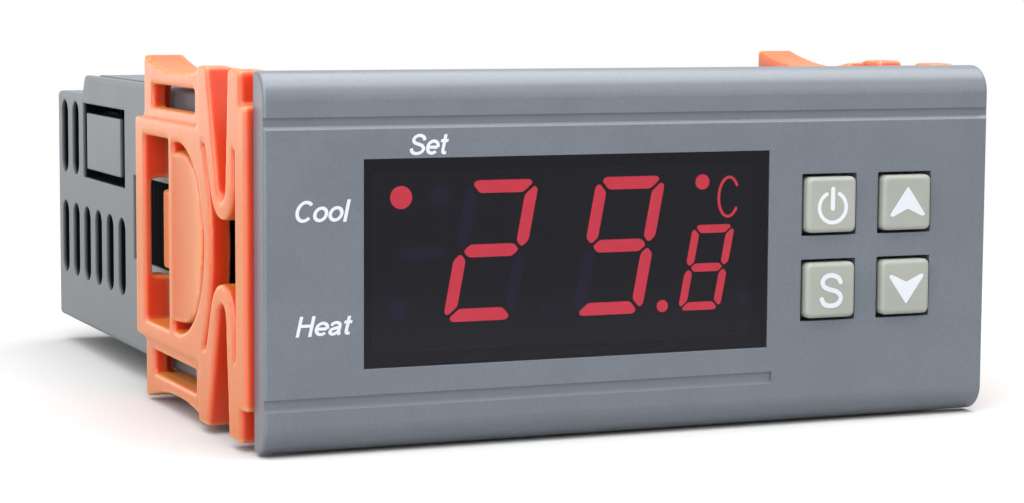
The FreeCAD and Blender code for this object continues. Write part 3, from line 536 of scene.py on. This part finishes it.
# Keys: four square caps of warm grey ABS with well rounded edges, each in a hole of the bezel.
# A flange keeps each cap in from behind, and its sign is printed on it in white.
# Satin ABS: a fine grain spreads the light, so the caps look soft and even.
key_abs = moulded(
    "satin_abs_key_cap", "A0A39B", "989B93", rough=(0.4, 0.48), grain=(0.22, 0.005), edge=0.12,
)
dress(key_abs, *[name + "_key" for name in KEYS])
KEY_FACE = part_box("power_key")[0].y / MM


def at_key(name, outline):
    """Outline about a key's centre, moved to its key."""
    low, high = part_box(name + "_key")
    middle = (low + high) / 2 / MM
    return [(middle.x + u, middle.z + v) for u, v in outline]


RING_R, RING_DROP = 1.47, 0.25
RING_TURN = [math.radians(a) for a in range(28, 336, 4)]
RING = [(RING_R * math.sin(a), RING_R * math.cos(a) - RING_DROP) for a in RING_TURN]
BAR = [(0.0, -0.35), (0.0, 1.55)]
S_LINE = curve([
    (1.0, 0.78), (0.72, 1.2), (0.05, 1.45), (-0.66, 1.3), (-0.98, 0.82), (-0.78, 0.35), (-0.2, 0.08),
    (0.5, -0.12), (0.98, -0.52), (1.0, -1.0), (0.62, -1.4), (-0.05, -1.52), (-0.72, -1.36), (-1.05, -0.85),
])
ARROW = rounded([(0.0, 1.6), (2.0, -1.2), (1.72, -1.38), (0.0, -0.6), (-1.72, -1.38), (-2.0, -1.2)], 0.22)
for name, outlines in (
    ("power", [ribbon(RING, 0.37), ribbon(BAR, 0.44)]),
    ("up", [ARROW]),
    ("set", [ribbon(S_LINE, 0.46)]),
    ("down", [[(u, -v - 0.1) for u, v in ARROW]]),
):
    placed = [at_key(name, outline) for outline in outlines]
    plate(name + "_sign", placed, KEY_FACE, INK_T, white_ink, name + "_button")

# Mounting clips: each one springy orange moulding that slides along the case's grooves.
# Their U-shaped springs press on the panel's back, and a pawl under the thumb pad holds the rack.
# Satin nylon: light sinks in and comes back red where it is met head on, and a dusty sheen lies on it.
clip_nylon = moulded(
    "satin_orange_nylon", "CC3A16", "C43412", rough=(0.28, 0.34), grain=(0.25, 0.002), edge=0.1,
    stretch=(1, 1, 0.15), drift=2.0,
    **{
        "Subsurface Weight": 0.8, "Subsurface Radius": (2.0, 0.35, 0.12), "Subsurface Scale": 2.0 * MM,
        "Sheen Weight": 0.48, "Sheen Roughness": 0.5, "Sheen Tint": linear("FFBC5C"),
    },
)
dress(clip_nylon, "left_clip", "right_clip")

# Painted sheen: faces met at a glance are painted a paler orange. Edges and thin webs have little
# nylon behind them, and painted light makes them paler still, for the light that shines through.
GLANCE = (0.2, 0.55)
THIN = 0.5
tree = clip_nylon.node_tree
coat = tree.nodes["Principled BSDF"].inputs["Base Color"]
facing = put(tree, "LayerWeight", {"Blend": 0.5}).outputs["Facing"]
turned = put(tree, "MapRange", {"Value": facing, "From Min": GLANCE[0], "From Max": GLANCE[1]})
head_on = coat.links[0].from_socket
# Painted sheen: a paler orange where a face is met at a glance.
glance_sheen_tone = put(tree, "Mix", {0: turned.outputs[0], 6: head_on, 7: linear("C2501A")}, data_type="RGBA")
behind = put(tree, "AmbientOcclusion", {"Distance": THIN * MM}, samples=8, inside=True, only_local=True)
sharp = put(tree, "MapRange", {
    "Value": behind.outputs["AO"], "From Min": 0.55, "From Max": 0.97, "To Min": 0.75, "To Max": 0.0,
})
# Painted light: a paler orange on edges and thin webs.
edge_painted_light = put(tree, "Mix", {0: sharp.outputs[0], 6: glance_sheen_tone.outputs[2], 7: linear("FFC48C")}, data_type="RGBA")
tree.links.new(edge_painted_light.outputs[2], coat)

# The mould left every edge round: an even fine mesh over each clip is smoothed to give that.
SKIN_MESH = 0.19
EDGE_PASSES = 15
for name in ("left_clip", "right_clip"):
    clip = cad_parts[name]
    skin = clip.modifiers.new("even_skin", "REMESH")
    skin.mode = "VOXEL"
    skin.voxel_size = SKIN_MESH * MM
    skin.use_smooth_shade = True
    edges = clip.modifiers.new("rounded_edges", "SMOOTH")
    edges.factor = 0.5
    edges.iterations = EDGE_PASSES

# Studio: a pale floor that runs out to white, a wide lamp overhead, one to the left, a weak one in
# front and a weak low one at the rear left, and a camera with a long lens, a little above the
# object and to its left. The floor lies a hair under the object, so that no two faces coincide.
FLOOR_GAP = 0.2
FLOOR_HALF = 3.0
form = bmesh.new()
bmesh.ops.create_grid(form, x_segments=1, y_segments=1, size=FLOOR_HALF)
mesh = bpy.data.meshes.new("studio_floor")
form.to_mesh(mesh)
form.free()
floor = bpy.data.objects.new("studio_floor", mesh)
floor.location.z = cad_box[0][2] - FLOOR_GAP * MM
bpy.context.scene.collection.objects.link(floor)


def background_seen(tree):
    """One where the eye meets the background, straight or in a gloss or through glass."""
    rays = put(tree, "LightPath").outputs
    seen = rays["Is Camera Ray"]
    for kind in ("Is Glossy Ray", "Is Transmission Ray"):
        seen = put(tree, "Math", {0: seen, 1: rays[kind]}, operation="MAXIMUM").outputs[0]
    return seen


# Paper sweep: matt and pale round the object, where its shadow falls, and plain white further out.
# It throws less light back on the object than its whiteness would.
FIBRE = 40
SWEEP_MIDDLE = (0.0, 40 * MM, 0.0)
SWEEP_NEAR, SWEEP_FAR = 70, 190
material, tree, place = blank("pale_paper_sweep")
fibre = put(tree, "TexNoise", {"Vector": place, "Scale": 1 / (FIBRE * MM), "Detail": 2.0}).outputs["Fac"]
pale = put(tree, "Mix", {0: fibre, 6: linear("D4D4D4"), 7: linear("D7D7D7")}, data_type="RGBA")
seen = background_seen(tree)
tone = put(tree, "Mix", {0: seen, 6: linear("B4B4B4"), 7: pale.outputs[2]}, data_type="RGBA")
paper = put(tree, "BsdfDiffuse", {"Color": tone.outputs[2]})
reach = put(tree, "VectorMath", {0: place, 1: SWEEP_MIDDLE}, operation="DISTANCE")
far_off = put(tree, "MapRange", {
    "Value": reach.outputs["Value"], "From Min": SWEEP_NEAR * MM, "From Max": SWEEP_FAR * MM,
}, interpolation_type="SMOOTHSTEP")
share = put(tree, "Math", {0: seen, 1: far_off.outputs[0]}, operation="MULTIPLY")
white = put(tree, "Emission", {"Color": linear("FFFFFF"), "Strength": 1.0})
sweep = put(tree, "MixShader", {0: share.outputs[0], 1: paper.outputs[0], 2: white.outputs[0]})
put(tree, "OutputMaterial", {"Surface": sweep.outputs[0]})
mesh.materials.append(material)

# Room: a weak even light from all round, seen as plain white.
ROOM_LIGHT = 0.24
world = bpy.data.worlds.new("studio")
bpy.context.scene.world = world
world.use_nodes = True
tree = world.node_tree
tree.nodes.clear()
room = put(tree, "Background", {"Color": linear("FFFFFF"), "Strength": ROOM_LIGHT})
white = put(tree, "Background", {"Color": linear("FFFFFF"), "Strength": 1.0})
both = put(tree, "MixShader", {0: background_seen(tree), 1: room.outputs[0], 2: white.outputs[0]})
put(tree, "OutputWorld", {"Surface": both.outputs[0]})

# Lamps: flat panels turned to the middle of the panel seat, with their places and sizes in metres.
for name, spot, wide, deep, watts in (
    ("lamp_overhead", (0.03, -0.06, 0.6), 1.05, 0.8, 9.4),
    ("lamp_left", (-0.44, -0.3, 0.2), 0.5, 0.5, 2.7),
    ("lamp_front", (0.2, -0.3, 0.16), 0.2, 0.2, 0.2),
    ("lamp_rear_left", (-0.17, 0.35, 0.03), 0.3, 0.09, 0.11),
):
    light = bpy.data.lights.new(name, "AREA")
    light.shape = "RECTANGLE"
    light.size, light.size_y = wide, deep
    light.energy = watts
    lamp = bpy.data.objects.new(name, light)
    lamp.location = spot
    lamp.rotation_euler = (-Vector(spot)).to_track_quat("-Z", "Y").to_euler()
    bpy.context.scene.collection.objects.link(lamp)

# Camera: its place, turn and lens give the view that the object was modelled from.
CAMERA_AT = (-108.237, -225.699, 25.133)
AZIMUTH, ELEVATION, ROLL = math.radians(-23.015), math.radians(5.8), math.radians(0.326)
level = math.cos(ELEVATION)
back = Vector((math.sin(AZIMUTH) * level, -math.cos(AZIMUTH) * level, math.sin(ELEVATION)))
across = Vector((math.cos(AZIMUTH), math.sin(AZIMUTH), 0))
rise = back.cross(across)
right = across * math.cos(ROLL) + rise * math.sin(ROLL)
up = rise * math.cos(ROLL) - across * math.sin(ROLL)
turn = Matrix((right, up, back)).transposed().to_4x4()
lens = bpy.data.cameras.new("camera")
lens.sensor_width = 36.0
lens.lens = 92.91
lens.clip_start = 0.01
camera = bpy.data.objects.new("camera", lens)
camera.matrix_world = Matrix.Translation(Vector(CAMERA_AT) * MM) @ turn
bpy.context.scene.collection.objects.link(camera)
bpy.context.scene.camera = camera
bpy.context.scene.view_settings.view_transform = "Standard"
